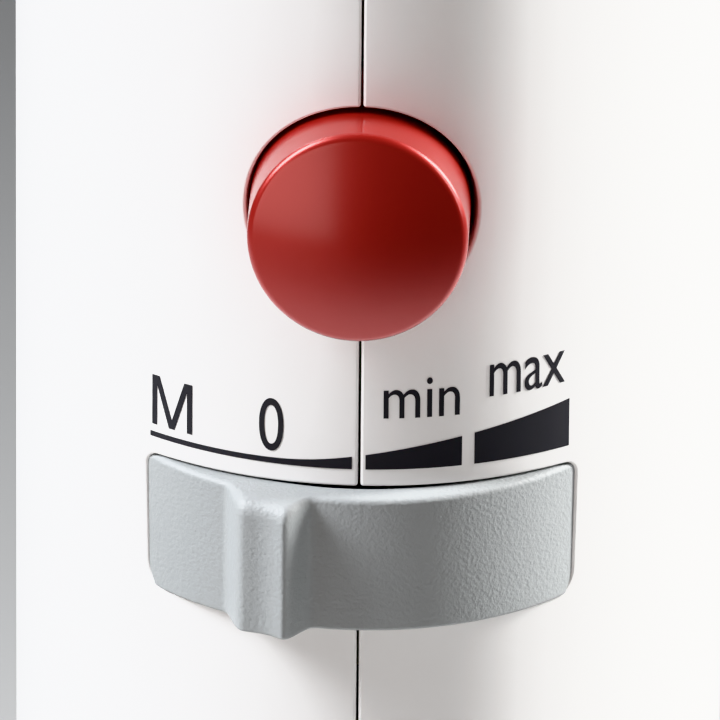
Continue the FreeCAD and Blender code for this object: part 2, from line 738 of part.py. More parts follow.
SHAFT_END = S.handle_low + 7
rods("motor_shaft", "XY_Plane", [(0, 0, S.shaft_radius)], SHAFT_END,
     FRAME_HIGH + FRAME_TALL + 1 - SHAFT_END)
core = ring("rotor_core", S.shaft_radius, S.armature_radius, S.stack_low + 1,
            S.stack_tall - 2)
tooth = rectangle(core, "XY_Plane", (-0.9, -S.armature_radius - 1), (0.9, -7.5),
                  S.stack_low + 1)
around(core, cut(core, tooth, S.stack_tall - 2, False, True), 12)
windings = new_body("rotor_windings")
windings.AllowCompound = True
for low, tall in ((S.stack_low - 2.8, 3.8), (STACK_TOP - 1, 4)):
    coil = circles(windings, "XY_Plane", [(0, 0, 10.6), (0, 0, S.shaft_radius)], low)
    grow(windings, coil, tall)
commutator = ring("commutator", S.shaft_radius, COMMUTATOR_RADIUS, COMMUTATOR_LOW, 9)
mica = rectangle(commutator, "XY_Plane", (-0.25, -COMMUTATOR_RADIUS - 1), (0.25, -6.2),
                 COMMUTATOR_LOW)
around(commutator, cut(commutator, mica, 9, False, True), 12)

FAN_LOW = S.motor_low + FRAME_TALL + 1
FAN_RADIUS = 16
fan = ring("cooling_fan", S.shaft_radius, FAN_RADIUS, FAN_LOW, 1)
grow(fan, circles(fan, "XY_Plane", [(0, 0, 5.5), (0, 0, S.shaft_radius)], FAN_LOW), 5)
vane = rectangle(fan, "XY_Plane", (6, -0.6), (FAN_RADIUS - 0.6, 0.6), FAN_LOW + 0.5)
around(fan, grow(fan, vane, 4.5), 9)

# The drive coupler is a six-sided plug that drops into the foot's socket.
HEX_HALF = 4.8
HEX_PLAY = 0.3


def hexagon(flat):
    """The corners of a hexagon with the given distance from its middle to a flat."""
    reach = flat / math.cos(math.radians(30))
    angles = [math.radians(60 * step) for step in range(6)]
    return [(reach * math.cos(angle), reach * math.sin(angle)) for angle in angles]


drive = new_body("drive_coupler")
grow(drive, outline(drive, "XY_Plane", hexagon(HEX_HALF), S.handle_low + 4), 16.5)
cut(drive, circles(drive, "XY_Plane", [(0, 0, S.shaft_radius)], SHAFT_END), 20, False, True)

# ---------------------------------------------------------------- socket

# The socket's sleeve closes the handle below and takes the foot's neck.
SOCKET_BORE = S.neck_radius + S.apart
socket = new_body("socket_sleeve")
turn(socket, outline(socket, "XZ_Plane", [
    (SOCKET_BORE, S.handle_low + 0.5),
    (S.handle_low_radius - S.wall - 0.1, S.handle_low + 0.5),
    (S.handle_low_radius - S.wall - 0.1, S.handle_low + 3),
    (SOCKET_BORE + 1.8, S.handle_low + 3),
    (SOCKET_BORE + 1.8, SOCKET_TOP),
    (SOCKET_BORE, SOCKET_TOP),
]))
screw_reach = (SOCKET_BORE + 1.8 + S.handle_low_radius - S.wall) / 2
SOCKET_SCREWS = [(screw_reach * math.sin(math.radians(angle)),
                  screw_reach * math.cos(math.radians(angle)), 1.3) for angle in (60, 180, 300)]
cut(socket, circles(socket, "XY_Plane", SOCKET_SCREWS, S.handle_low), 5, False, True)
rods("socket_screws", "XY_Plane", SOCKET_SCREWS, S.handle_low + 0.5, 9)

# ---------------------------------------------------------------- foot

# The collar flares from the tube to the handle and ends in the neck that plugs in.
collar_flare = S.collar_tall - 4 - S.apart
COLLAR_FOOT = S.tube_radius + 2.2
flare_top, flare_low, flare_meet = double_bend(
    S.handle_low_radius, COLLAR_FOOT, collar_flare, 0.5)
collar = new_body("foot_collar")
COLLAR_BORE = 13
turn(collar, outline(collar, "XZ_Plane", [
    (S.tube_radius, COLLAR_LOW),
    (COLLAR_FOOT - 0.6, COLLAR_LOW),
    (COLLAR_FOOT, COLLAR_LOW + 0.6),
    (COLLAR_FOOT, COLLAR_LOW + 2, right(flare_low)),
    (flare_meet[0], COLLAR_TOP - 2 - flare_meet[1], left(flare_top)),
    (S.handle_low_radius, COLLAR_TOP - 2),
    (S.handle_low_radius, COLLAR_TOP),
    (S.neck_radius, COLLAR_TOP),
    (S.neck_radius, NECK_TOP),
    (COLLAR_BORE, NECK_TOP),
    (COLLAR_BORE, COLLAR_TOP - 6),
    (S.tube_radius, COLLAR_TOP - 6),
]))
O_RING_LOW = S.handle_low + 11
groove(collar, rectangle(collar, "XZ_Plane", (S.neck_radius - 1.2, O_RING_LOW),
                         (S.neck_radius + 1, O_RING_LOW + 1.8)))
ring("neck_o_ring", S.neck_radius - 1.2, S.neck_radius + 0.1, O_RING_LOW, 1.8)

TUBE_TOP = COLLAR_TOP - 6
ring("foot_tube", S.tube_radius - S.tube_wall, S.tube_radius, S.bell_tall + 2,
     TUBE_TOP - S.bell_tall - 2)

# The bell is one spun sheet whose rim has four arched openings, between the axes.
BELL_NECK = S.tube_radius + S.bell_sheet
bell_flare = S.bell_tall - 4
outer_rim, outer_neck, bell_meet = double_bend(S.bell_radius, BELL_NECK, bell_flare, 0.55)
total = outer_rim + outer_neck
meet_in = (bell_meet[0] - S.bell_sheet * (total - (S.bell_radius - BELL_NECK)) / total,
           bell_meet[1] + 4 - S.bell_sheet * bell_flare / total)
bell = new_body("bell_guard")
turn(bell, outline(bell, "XZ_Plane", [
    (S.bell_radius - S.bell_sheet, 0),
    (S.bell_radius, 0),
    (S.bell_radius, 4, left(outer_rim)),
    (bell_meet[0], bell_meet[1] + 4, right(outer_neck)),
    (BELL_NECK, S.bell_tall),
    (BELL_NECK, S.bell_tall + 8),
    (S.tube_radius, S.bell_tall + 8),
    (S.tube_radius, S.bell_tall, left(outer_neck + S.bell_sheet)),
    (meet_in[0], meet_in[1], right(outer_rim - S.bell_sheet)),
    (S.bell_radius - S.bell_sheet, 4),
]))
SLOT_ROUND = 6
for plane_role in ("XZ_Plane", "YZ_Plane"):
    arch = outline(bell, plane_role, [
        (S.slot_half, -1),
        (S.slot_half, S.slot_tall - SLOT_ROUND, left(SLOT_ROUND)),
        (S.slot_half - SLOT_ROUND, S.slot_tall),
        (-S.slot_half + SLOT_ROUND, S.slot_tall, left(SLOT_ROUND)),
        (-S.slot_half, S.slot_tall - SLOT_ROUND),
        (-S.slot_half, -1),
    ])
    cut(bell, arch, S.bell_radius * 2 + 10, True)
place(bell, (0, 0, 0), (0, 0, 1), 45)

# The spindle runs in two bushes, and a lip seal under the lower one keeps food out.
TUBE_BORE = S.tube_radius - S.tube_wall
SPINDLE_BORE = S.spindle_radius + S.running
CARRIER_LOW = S.bell_tall - 8
BUSH_RADIUS = 7
carrier = new_body("seal_carrier")
turn(carrier, outline(carrier, "XZ_Plane", [
    (BUSH_RADIUS, CARRIER_LOW),
    (TUBE_BORE, CARRIER_LOW),
    (TUBE_BORE, CARRIER_LOW + 24),
    (BUSH_RADIUS, CARRIER_LOW + 24),
]))
ring("shaft_seal", S.spindle_radius + 0.06, BUSH_RADIUS, CARRIER_LOW, 4)
ring("bush_lower", SPINDLE_BORE, BUSH_RADIUS, CARRIER_LOW + 4, 16)
ring("bush_upper", SPINDLE_BORE, TUBE_BORE, TUBE_TOP - 14, 10)

SPINDLE_TOP = S.handle_low + 2.5
SPINDLE_LOW = S.blade_height - 5
rods("drive_shaft", "XY_Plane", [(0, 0, S.spindle_radius)], SPINDLE_LOW,
     SPINDLE_TOP - SPINDLE_LOW)
ring("shaft_circlip", S.spindle_radius, S.spindle_radius + 2, TUBE_TOP - 3.6, 0.8)

driven = new_body("driven_coupler")
SOCKET_LOW = TUBE_TOP + 1
grow(driven, circles(driven, "XY_Plane", [(0, 0, 9.5)], SOCKET_LOW), NECK_TOP - 3 - SOCKET_LOW)
cut(driven, outline(driven, "XY_Plane", hexagon(HEX_HALF + HEX_PLAY), S.handle_low + 3), 30,
    False, True)
cut(driven, circles(driven, "XY_Plane", [(0, 0, S.spindle_radius)], SOCKET_LOW),
    SPINDLE_TOP - SOCKET_LOW, False, True)

# ---------------------------------------------------------------- blade

# A hub with two wings: each wing is lofted from a flat root to a tip that is turned down.
BLADE_THICK = 1.2
HUB_RADIUS = 6.5
blade = new_body("blade")
grow(blade, circles(blade, "XY_Plane", [(0, 0, HUB_RADIUS)], S.blade_height),
     BLADE_THICK * 2)
blade_middle = S.blade_height + BLADE_THICK


def wing_section(reach, half_width, tilt, rise):
    """A wing's section across its length, tilted and raised."""
    swing = math.radians(tilt)
    corners = ((-1, -1), (1, -1), (1, 1), (-1, 1))
    points = []
    for across, up in corners:
        y, z = across * half_width, up * BLADE_THICK / 2
        points.append((y * math.cos(swing) - z * math.sin(swing),
                       blade_middle + rise + y * math.sin(swing) + z * math.cos(swing)))
    return outline(blade, "YZ_Plane", points, reach)


for side in (-1, 1):
    wing = blade.newObject("PartDesign::AdditiveLoft", "blade_wing")
    wing.Profile = wing_section(dim(5.5) * side, 4.2, 0, 0)
    wing.Sections = [wing_section(S.blade_reach * 0.6 * side, 4.4, 12 * side, 0.2 * side),
                     wing_section(S.blade_reach * side, 2.4, 26 * side, 1.6 * side)]
    wing.Ruled = True
    doc.recompute()
cut(blade, circles(blade, "XY_Plane", [(0, 0, S.spindle_radius)], S.blade_height - 3), 12,
    False, True)
spacer_low = S.blade_height + BLADE_THICK * 2
ring("blade_spacer", S.spindle_radius, 6, spacer_low, CARRIER_LOW - 0.6 - spacer_low)
nut = new_body("blade_nut")
grow(nut, outline(nut, "XY_Plane", hexagon(6), S.blade_height - 4), 4)
cut(nut, circles(nut, "XY_Plane", [(0, 0, S.spindle_radius)], S.blade_height - 4), 4,
    False, True)

# ---------------------------------------------------------------- checks and files

doc.recompute()
for item in doc.Objects:
    if "Invalid" in item.State or "Error" in item.State:
        raise RuntimeError("%s failed" % item.Label)
os.makedirs("parts", exist_ok=True)
for node in nodes:
    if node.Shape.isNull() or not node.Shape.isValid():
        raise RuntimeError("%s has no valid shape" % node.Label)
for node in nodes:
    node.Shape.exportStep("parts/%s.step" % node.Label)
print("%d nodes" % len(nodes))
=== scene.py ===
import math

import bmesh
import bpy
import numpy as np
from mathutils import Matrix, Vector, geometry, kdtree


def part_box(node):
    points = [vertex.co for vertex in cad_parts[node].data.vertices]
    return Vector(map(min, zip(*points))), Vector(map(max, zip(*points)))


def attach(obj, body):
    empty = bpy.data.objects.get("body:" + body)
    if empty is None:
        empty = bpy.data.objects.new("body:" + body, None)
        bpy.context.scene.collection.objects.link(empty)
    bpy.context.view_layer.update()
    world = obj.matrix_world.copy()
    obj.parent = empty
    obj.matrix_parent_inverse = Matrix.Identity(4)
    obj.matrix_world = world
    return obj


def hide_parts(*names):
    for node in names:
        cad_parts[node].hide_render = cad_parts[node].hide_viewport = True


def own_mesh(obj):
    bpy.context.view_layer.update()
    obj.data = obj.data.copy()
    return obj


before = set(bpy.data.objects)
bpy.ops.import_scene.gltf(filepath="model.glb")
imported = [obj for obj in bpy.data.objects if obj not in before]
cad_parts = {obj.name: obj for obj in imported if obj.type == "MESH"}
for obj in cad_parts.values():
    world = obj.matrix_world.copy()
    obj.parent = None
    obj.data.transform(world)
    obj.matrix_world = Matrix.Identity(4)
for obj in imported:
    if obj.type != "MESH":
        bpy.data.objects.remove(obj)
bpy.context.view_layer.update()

# ================================================================ half shells
# Two injection moulded halves in white ABS with a soft gloss. They meet on the plane
# X = 0 with a hairline gap whose edges are slightly rounded, and steel dowels inside line
# them up. Lengths here and below are in millimetres until a mesh is made.

MM = 0.001
DEGREE = math.pi / 180


def box_mm(node):
    """The lowest and highest corner of a CAD node in millimetres."""
    low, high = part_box(node)
    return low / MM, high / MM


def linear(colour):
    """An sRGB hex colour as linear red, green, blue and alpha."""
    parts = [int(colour[index:index + 2], 16) / 255 for index in (1, 3, 5)]
    straight = [part / 12.92 if part <= 0.04045 else ((part + 0.055) / 1.055) ** 2.4
                for part in parts]
    return (*straight, 1.0)


def add(tree, kind, settings=None, links=None):
    """Adds a node to a tree, with its properties, input values and incoming links."""
    node = tree.nodes.new(kind)
    for name, value in (settings or {}).items():
        if name in node.inputs:
            node.inputs[name].default_value = value
        else:
            setattr(node, name, value)
    for name, source in (links or {}).items():
        tree.links.new(source, node.inputs[name])
    return node


def new_material(name, settings):
    """A material with one Principled shader that has these input values."""
    material = bpy.data.materials.new(name)
    material.use_nodes = True
    tree = material.node_tree
    shader = tree.nodes["Principled BSDF"]
    for key, value in settings.items():
        shader.inputs[key].default_value = value
    return material, tree, shader


PLASTIC_IOR = 1.53
COAT_IOR = 1.6
COAT_ROUGHNESS = 0.2
CLOUDS_PER_METRE = 90.0
PLASTIC_GLOSS = (0.9, 1.12)


def moulded(name, light, dark, roughness, grain_mm, depth_mm, coat=0.0):
    """Moulded plastic: a faint cloudiness in its colour and gloss, and a fine relief."""
    material, tree, shader = new_material(name, {
        "IOR": PLASTIC_IOR, "Coat Weight": coat, "Coat Roughness": COAT_ROUGHNESS,
        "Coat IOR": COAT_IOR})
    place = add(tree, "ShaderNodeTexCoord").outputs["Object"]
    cloud = add(tree, "ShaderNodeTexNoise", {"Scale": CLOUDS_PER_METRE, "Detail": 3.0},
                {"Vector": place})
    tint = add(tree, "ShaderNodeMix",
               {"data_type": "RGBA", "A": linear(dark), "B": linear(light)},
               {"Factor": cloud.outputs["Fac"]})
    gloss = add(tree, "ShaderNodeMapRange", {"To Min": roughness * PLASTIC_GLOSS[0],
                                             "To Max": roughness * PLASTIC_GLOSS[1]},
                {"Value": cloud.outputs["Fac"]})
    grain = add(tree, "ShaderNodeTexNoise", {"Scale": 1 / (grain_mm * MM), "Detail": 2.0},
                {"Vector": place})
    relief = add(tree, "ShaderNodeBump", {"Strength": 1.0, "Distance": depth_mm * MM},
                 {"Height": grain.outputs["Fac"]})
    tree.links.new(tint.outputs["Result"], shader.inputs["Base Color"])
    tree.links.new(gloss.outputs["Result"], shader.inputs["Roughness"])
    tree.links.new(relief.outputs["Normal"], shader.inputs["Normal"])
    return material


def new_piece(name, points, faces, material, body, normals=None, crease=None):
    """A mesh piece from points in millimetres. It rides on a CAD body."""
    mesh = bpy.data.meshes.new(name)
    mesh.from_pydata([Vector(point) * MM for point in points], [], faces)
    mesh.validate()
    mesh.shade_smooth()
    if crease:
        mesh.set_sharp_from_angle(angle=crease * DEGREE)
    if normals is not None:
        mesh.normals_split_custom_set_from_vertices(normals)
    mesh.materials.append(material)
    piece = bpy.data.objects.new(name, mesh)
    bpy.context.collection.objects.link(piece)
    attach(piece, body)
    return piece


def rounded(corners, closed=True, step=11):
    """A line through corners (x, y, radius), each turned to an arc in steps of few degrees."""
    points = []
    count = len(corners)
    for index, (x, y, radius) in enumerate(corners):
        here = Vector((x, y))
        if not radius or (not closed and index in (0, count - 1)):
            points.append(here)
            continue
        before = (Vector(corners[index - 1][:2]) - here).normalized()
        after = (Vector(corners[(index + 1) % count][:2]) - here).normalized()
        half = before.angle(after) / 2
        centre = here + (before + after).normalized() * radius / math.sin(half)
        first = here + before * radius / math.tan(half) - centre
        last = here + after * radius / math.tan(half) - centre
        swing = first.angle(last)
        pieces = max(2, math.ceil(swing / (step * DEGREE)))
        for part in range(pieces + 1):
            turn = swing * part / pieces
            reach = first * math.sin(swing - turn) + last * math.sin(turn)
            points.append(centre + reach / math.sin(swing))
    return points


def divided(points, longest):
    """The same closed line with no gap between points longer than a length."""
    result = []
    for index, point in enumerate(points):
        after = points[(index + 1) % len(points)]
        parts = max(1, math.ceil((after - point).length / longest))
        result += [point.lerp(after, part / parts) for part in range(parts)]
    return result


def inside(spots, loop):
    """Which of the spots lie inside a closed loop."""
    x, y = spots[:, 0], spots[:, 1]
    odd = np.zeros(len(spots), bool)
    for (ax, ay), (bx, by) in zip(loop, np.roll(loop, -1, 0)):
        if ay == by:
            continue
        crosses = (ay > y) != (by > y)
        odd ^= crosses & (x < (bx - ax) * (y - ay) / (by - ay) + ax)
    return odd


shell_low, shell_high = box_mm("housing_left")
button_low, button_high = box_mm("eject_button")
RADIUS = -shell_low.x
SHELL_WALL = 2.2
THIN_WALL = 0.05
# The lower 60 mm bend in by 3 mm on one large arc.
TAPER_TALL = 60
TAPER_STEP = 3
TAPER_TOP = shell_low.z + TAPER_TALL
TAPER_RADIUS = (TAPER_TALL ** 2 + TAPER_STEP ** 2) / (TAPER_STEP * 2)
SEAM_GAP = 0.09
FOOT_GAP = 0.1
CAP_GAP = 0.08
EDGE_ROUND = 0.28
EDGE_STEP = 1.2
BUTTON_Z = (button_low.z + button_high.z) / 2
HOLE_RADIUS = 9.97
HOLE_TURNS = range(6, 175, 4)
# The window is a little narrower at its foot, where its corners are rounder too.
WINDOW_TOP = BUTTON_Z - 25.78
WINDOW_TALL = 12.9
WINDOW_LOW = WINDOW_TOP - WINDOW_TALL
WINDOW_HALF = 18.5
WINDOW_LEAN = 0.25
WINDOW_CORNER_TOP = 1.1
WINDOW_CORNER_LOW = 2.7
# The drum behind the window, whose band stands proud of the shells.
DRUM_RADIUS = 23.9
DRUM_PROUD = 2.3
DRUM_MIDDLE = RADIUS + DRUM_PROUD - DRUM_RADIUS
DRUM_CLEARANCE = 0.2
DRUM_SIDE = 80 * DEGREE
TINY = 0.01
# The mesh inside the shell's edge: its spacing round and up, and how far it keeps away.
GRID_ROUND = 1.3
GRID_UP = 2.6
GRID_CLEAR = 0.7


def along(x):
    """Distance round the shell of a point that is x from the seam's plane."""
    return RADIUS * math.asin(x / RADIUS)


def shell_radius(z):
    """The shell's radius at a height: straight above, gently tapered below."""
    drop = max(0.0, TAPER_TOP - z)
    return RADIUS - TAPER_RADIUS + math.sqrt(TAPER_RADIUS ** 2 - drop ** 2)


def drum_reach(angle):
    """How far the drum's band is from the handle's axis in a direction."""
    across = DRUM_MIDDLE * math.sin(angle)
    return DRUM_MIDDLE * math.cos(angle) + math.sqrt(DRUM_RADIUS ** 2 - across ** 2)


def inner_radius(around, z):
    """The inside of the wall, which is thinned where the drum passes behind it."""
    plain = shell_radius(z) - SHELL_WALL
    angle = around / RADIUS
    if WINDOW_LOW + TINY < z < WINDOW_TOP - TINY and angle < DRUM_SIDE:
        thinnest = RADIUS - EDGE_ROUND - THIN_WALL
        return max(plain, min(drum_reach(angle) + DRUM_CLEARANCE, thinnest))
    return plain


def shell_outline():
    """The edge of one half in the unrolled plane: distance round the shell, and height."""
    round_off = EDGE_ROUND * 1.1
    far = math.pi * RADIUS - SEAM_GAP
    low, high = shell_low.z + FOOT_GAP, shell_high.z - CAP_GAP
    hole = [(along(HOLE_RADIUS * math.sin(turn * DEGREE)),
             BUTTON_Z + HOLE_RADIUS * math.cos(turn * DEGREE), 0) for turn in HOLE_TURNS]
    corners = [
        (SEAM_GAP, low, round_off), (far, low, round_off),
        (far, high, round_off), (SEAM_GAP, high, round_off),
        (SEAM_GAP, BUTTON_Z + HOLE_RADIUS, round_off), *hole,
        (SEAM_GAP, BUTTON_Z - HOLE_RADIUS, round_off),
        (SEAM_GAP, WINDOW_TOP, round_off),
        (along(WINDOW_HALF), WINDOW_TOP, WINDOW_CORNER_TOP),
        (along(WINDOW_HALF - WINDOW_LEAN), WINDOW_LOW, WINDOW_CORNER_LOW),
        (SEAM_GAP, WINDOW_LOW, round_off),
    ]
    return divided(rounded(corners), EDGE_STEP)


def half_shell(name, side, material):
    """One closed half shell: rounded edge rings, a filled face, a wall and an inside."""
    loop = np.array([tuple(point) for point in shell_outline()])
    count = len(loop)
    tangent = np.roll(loop, -1, 0) - np.roll(loop, 1, 0)
    tangent /= np.linalg.norm(tangent, axis=1)[:, None]
    inward = np.stack([-tangent[:, 1], tangent[:, 0]], 1)
    flat, drops, tilts, outward = [], [], [], []
    turns = (90, 67.5, 45, 22.5, 0)
    for turn in turns:
        lean = math.sin(turn * DEGREE)
        flat.append(loop + inward * EDGE_ROUND * (1 - lean))
        drops += [EDGE_ROUND * (1 - math.cos(turn * DEGREE))] * count
        tilts += [lean] * count
        outward += list(-inward)
    last_ring = flat[-1]
    grid_u = np.arange(GRID_ROUND, math.pi * RADIUS, GRID_ROUND)
    grid_v = np.arange(shell_low.z + 2, shell_high.z, GRID_UP)
    spots = np.array([(u, v) for v in grid_v for u in grid_u])
    spots = spots[inside(spots, last_ring)]
    tree = kdtree.KDTree(count)
    for index, point in enumerate(last_ring):
        tree.insert((*point, 0), index)
    tree.balance()
    spots = np.array([spot for spot in spots if tree.find((*spot, 0))[2] > GRID_CLEAR])
    fill = [Vector(point) for point in last_ring] + [Vector(spot) for spot in spots]
    edges = [(index, (index + 1) % count) for index in range(count)]
    made = geometry.delaunay_2d_cdt(fill, edges, [], 1, 1e-6)
    source = [origin[0] for origin in made[3]]
    base = (len(turns) - 1) * count
    triangles = [[base + source[corner] for corner in face] for face in made[2]]
    flat = np.concatenate(flat + [spots])
    drops += [0] * len(spots)
    tilts += [0] * len(spots)
    outward += [(0, 0)] * len(spots)
    points, normals = [], []
    for (u, v), drop, tilt, way in zip(flat, drops, tilts, outward):
        angle, radius = u / RADIUS, shell_radius(v) - drop
        points.append((side * radius * math.sin(angle), -radius * math.cos(angle), v))
        lean = max(0.0, TAPER_TOP - v) / TAPER_RADIUS
        radial = Vector((side * math.sin(angle), -math.cos(angle), -lean)).normalized()
        across = Vector((side * math.cos(angle), math.sin(angle), 0)) * way[0]
        edge = across + Vector((0, 0, way[1]))
        normals.append((radial * math.sqrt(1 - tilt * tilt) + edge * tilt).normalized())
    total = len(points)
    for u, v in flat:
        angle, radius = u / RADIUS, inner_radius(u, v)
        points.append((side * radius * math.sin(angle), -radius * math.cos(angle), v))
        normals.append(Vector((-side * math.sin(angle), math.cos(angle), 0)))
    faces = []
    for ring in range(len(turns) - 1):
        for index in range(count):
            after = (index + 1) % count
            faces.append([ring * count + index, ring * count + after,
                          (ring + 1) * count + after, (ring + 1) * count + index])
    faces += triangles
    back = [[corner + total for corner in reversed(face)] for face in faces]
    wall = [[index, index + total, (index + 1) % count + total, (index + 1) % count]
            for index in range(count)]
    faces += back + wall
    if side < 0:
        faces = [list(reversed(face)) for face in faces]
    return new_piece(name, points, faces, material, "handle", normals)


# White ABS straight from a polished mould: bright, even, with a soft gloss.
white_abs = moulded("white_abs_moulded", "#F4F3F1", "#EFEEEC", 0.3, 1.4, 0.004)
for side_name, side in (("left", -1), ("right", 1)):
    shell = half_shell("shell_" + side_name, side, white_abs)
    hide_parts("housing_" + side_name)

# ================================================================ printed scale
# The speed scale and its four marks are pad printed on the shells in dark grey ink. The
# bar thickens towards the fast end and is broken into three fields.

INK_LIFT = 0.012
INK_THICK = 0.02
SCALE_Z = BUTTON_Z - 24.1
SCALE_FIELDS = ((-19.4, -0.62), (0.54, 8.88), (10.0, 19.0))


BAR_THIN = 0.5
BAR_SLOPE = 0.17
BAR_BEND = -4.5
BAR_SOFTNESS = 1.6
INK_STEP = 0.4


def scale_height(around):
    """The bar's height: thin up to the 0 mark, then rising evenly."""
    rise = BAR_SOFTNESS * math.log(1 + math.exp((around - BAR_BEND) / BAR_SOFTNESS))
    return BAR_THIN + BAR_SLOPE * rise


def wrap(point, lift):
    """A point of the unrolled plane on the straight part of the shell."""
    angle, radius = point[0] / RADIUS, RADIUS + lift
    return radius * math.sin(angle), -radius * math.cos(angle), point[1]


def print_ink(name, flat_points, flat_faces, material):
    """A thin closed layer of ink from a flat shape in the unrolled plane."""
    work = bmesh.new()
    dots = [work.verts.new((*point, 0)) for point in flat_points]
    for face in flat_faces:
        work.faces.new([dots[corner] for corner in face])
    low = min(point[0] for point in flat_points)
    high = max(point[0] for point in flat_points)
    cuts = max(1, math.ceil((high - low) / INK_STEP))
    for cut in range(1, cuts):
        parts = work.verts[:] + work.edges[:] + work.faces[:]
        line = (low + (high - low) * cut / cuts, 0, 0)
        bmesh.ops.bisect_plane(work, geom=parts, dist=1e-5, plane_co=line,
                               plane_no=(1, 0, 0))
    bmesh.ops.remove_doubles(work, verts=work.verts, dist=1e-4)
    grown = bmesh.ops.extrude_face_region(work, geom=work.faces[:])["geom"]
    top = set(item for item in grown if isinstance(item, bmesh.types.BMVert))
    for dot in work.verts:
        lift = INK_LIFT + (INK_THICK if dot in top else 0)
        dot.co = Vector(wrap(dot.co, lift))
    bmesh.ops.recalc_face_normals(work, faces=work.faces)
    work.verts.index_update()
    points = [tuple(dot.co) for dot in work.verts]
    faces = [[dot.index for dot in face.verts] for face in work.faces]
    work.free()
    piece = new_piece(name, points, faces, material, "handle", None, 30)
    return piece


# Pad printing ink: a dense, nearly black grey that dries with a satin, slightly uneven skin.
ink = moulded("pad_print_ink", "#28272C", "#202024", 0.5, 0.3, 0.004)
BAR_COLUMNS = 40
for number, (start, end) in enumerate(SCALE_FIELDS, 1):
    outline = []
    for column in range(BAR_COLUMNS + 1):
        spot = start + (end - start) * column / BAR_COLUMNS
        outline += [(spot, SCALE_Z), (spot, SCALE_Z + scale_height(spot))]
    strips = [[2 * column, 2 * column + 2, 2 * column + 3, 2 * column + 1]
              for column in range(BAR_COLUMNS)]
    print_ink("print_scale_%d" % number, outline, strips, ink)

# The M has straight legs and diagonals that meet on its foot line.
M_LEFT, M_FOOT, M_WIDE, M_TALL, STROKE = -19.2, 1.2, 4.15, 4.7, 0.54
NOTCH = M_TALL - 0.9
POINT_HALF = 0.3
CLEFT = 0.85
m_right_half = [
    (POINT_HALF, 0), (M_WIDE / 2 - STROKE, NOTCH), (M_WIDE / 2 - STROKE, 0),
    (M_WIDE / 2, 0), (M_WIDE / 2, M_TALL), (M_WIDE / 2 - STROKE * 1.5, M_TALL), (0, CLEFT),
]
m_outline = m_right_half + [(-x, y) for x, y in reversed(m_right_half[:-1])]
print_ink("mark_pulse", [(M_LEFT + M_WIDE / 2 + x, SCALE_Z + M_FOOT + y)
                         for x, y in m_outline], [list(range(len(m_outline)))], ink)

# The other marks: text, middle round the shell, width, foot above the scale, and height.
MARKS = (
    ("0", "mark_off", -7.67, 2.2, 1.15, 5.0),
    ("min", "mark_min", 5.35, 6.6, 4.85, 3.75),
    ("max", "mark_max", 14.9, 7.2, 6.15, 3.1),
)
for text, name, middle, width, foot, tall in MARKS:
    letters = bpy.data.curves.new(name, "FONT")
    letters.body = text
    letters.resolution_u = 8
    holder = bpy.data.objects.new(name + "_draft", letters)
    bpy.context.collection.objects.link(holder)
    bpy.context.view_layer.update()
    draft = bpy.data.meshes.new_from_object(holder)
    spots = np.array([tuple(dot.co)[:2] for dot in draft.vertices])
    low, high = spots.min(0), spots.max(0)
    scale = np.array([width, tall]) / (high - low)
    spots = (spots - low) * scale + np.array([middle - width / 2, SCALE_Z + foot])
    print_ink(name, [tuple(spot) for spot in spots],
              [list(face.vertices) for face in draft.polygons], ink)
    bpy.data.objects.remove(holder)
    bpy.data.curves.remove(letters)
    bpy.data.meshes.remove(draft)

# ================================================================ release button
# A red ABS cup with a polished, slightly domed face and a small rounded rim. It slides in
# the hole of the shells, and a fine parting line runs down its side where its mould closed.


def lathe(profile, segments=160, closed=True):
    """Points and faces of a profile (radius, height) turned about the vertical axis."""
    points, faces = [], []
    rows = []
    for radius, height in profile:
        if radius < 1e-6:
            rows.append([len(points)] * segments)
            points.append((0, 0, height))
            continue
        rows.append(list(range(len(points), len(points) + segments)))
        for step in range(segments):
            angle = 2 * math.pi * step / segments
            points.append((radius * math.cos(angle), radius * math.sin(angle), height))
    pairs = list(zip(rows, rows[1:] + (rows[:1] if closed else [])))
    for low, high in pairs:
        for step in range(segments):
            after = (step + 1) % segments
            face = [low[step], low[after], high[after], high[step]]
            face = list(dict.fromkeys(face))
            if len(face) > 2:
                faces.append(face)
    return points, faces


BUTTON_RADIUS = 9.42
# The face is set back a little, so that its lean keeps it inside the button's own box.
BUTTON_INSET = 0.2
BUTTON_FACE = -button_low.y - BUTTON_INSET
BUTTON_BACK = -button_high.y
BUTTON_RIM = 0.8
BUTTON_DOME = 1.4
BUTTON_WALL = 1.8
FLANGE_REACH = 2.1
FLANGE_THICK = 1.5
FLANGE_ROUND = 0.2
FLOOR_DEPTH = 2
DOME_STEPS = 12
BUTTON_SLANT = math.tan(4.5 * DEGREE)
BUTTON_SHIFT = -0.15
rim_depth = BUTTON_FACE - BUTTON_DOME
dome = []
for part in range(1, DOME_STEPS + 1):
    out = 1 - part / DOME_STEPS
    dome.append((BUTTON_RADIUS * out, rim_depth + BUTTON_DOME * (1 - out ** 2), 0))
button_profile = rounded([
    (0, BUTTON_BACK + FLOOR_DEPTH, 0),
    (BUTTON_RADIUS - BUTTON_WALL, BUTTON_BACK + FLOOR_DEPTH, 0),
    (BUTTON_RADIUS - BUTTON_WALL, BUTTON_BACK, 0),
    (BUTTON_RADIUS + FLANGE_REACH, BUTTON_BACK, FLANGE_ROUND),
    (BUTTON_RADIUS + FLANGE_REACH, BUTTON_BACK + FLANGE_THICK, FLANGE_ROUND),
    (BUTTON_RADIUS, BUTTON_BACK + FLANGE_THICK, FLANGE_ROUND),
    (BUTTON_RADIUS, rim_depth, BUTTON_RIM),
    *dome,
], False, 7)
points, faces = lathe(button_profile, 320, False)
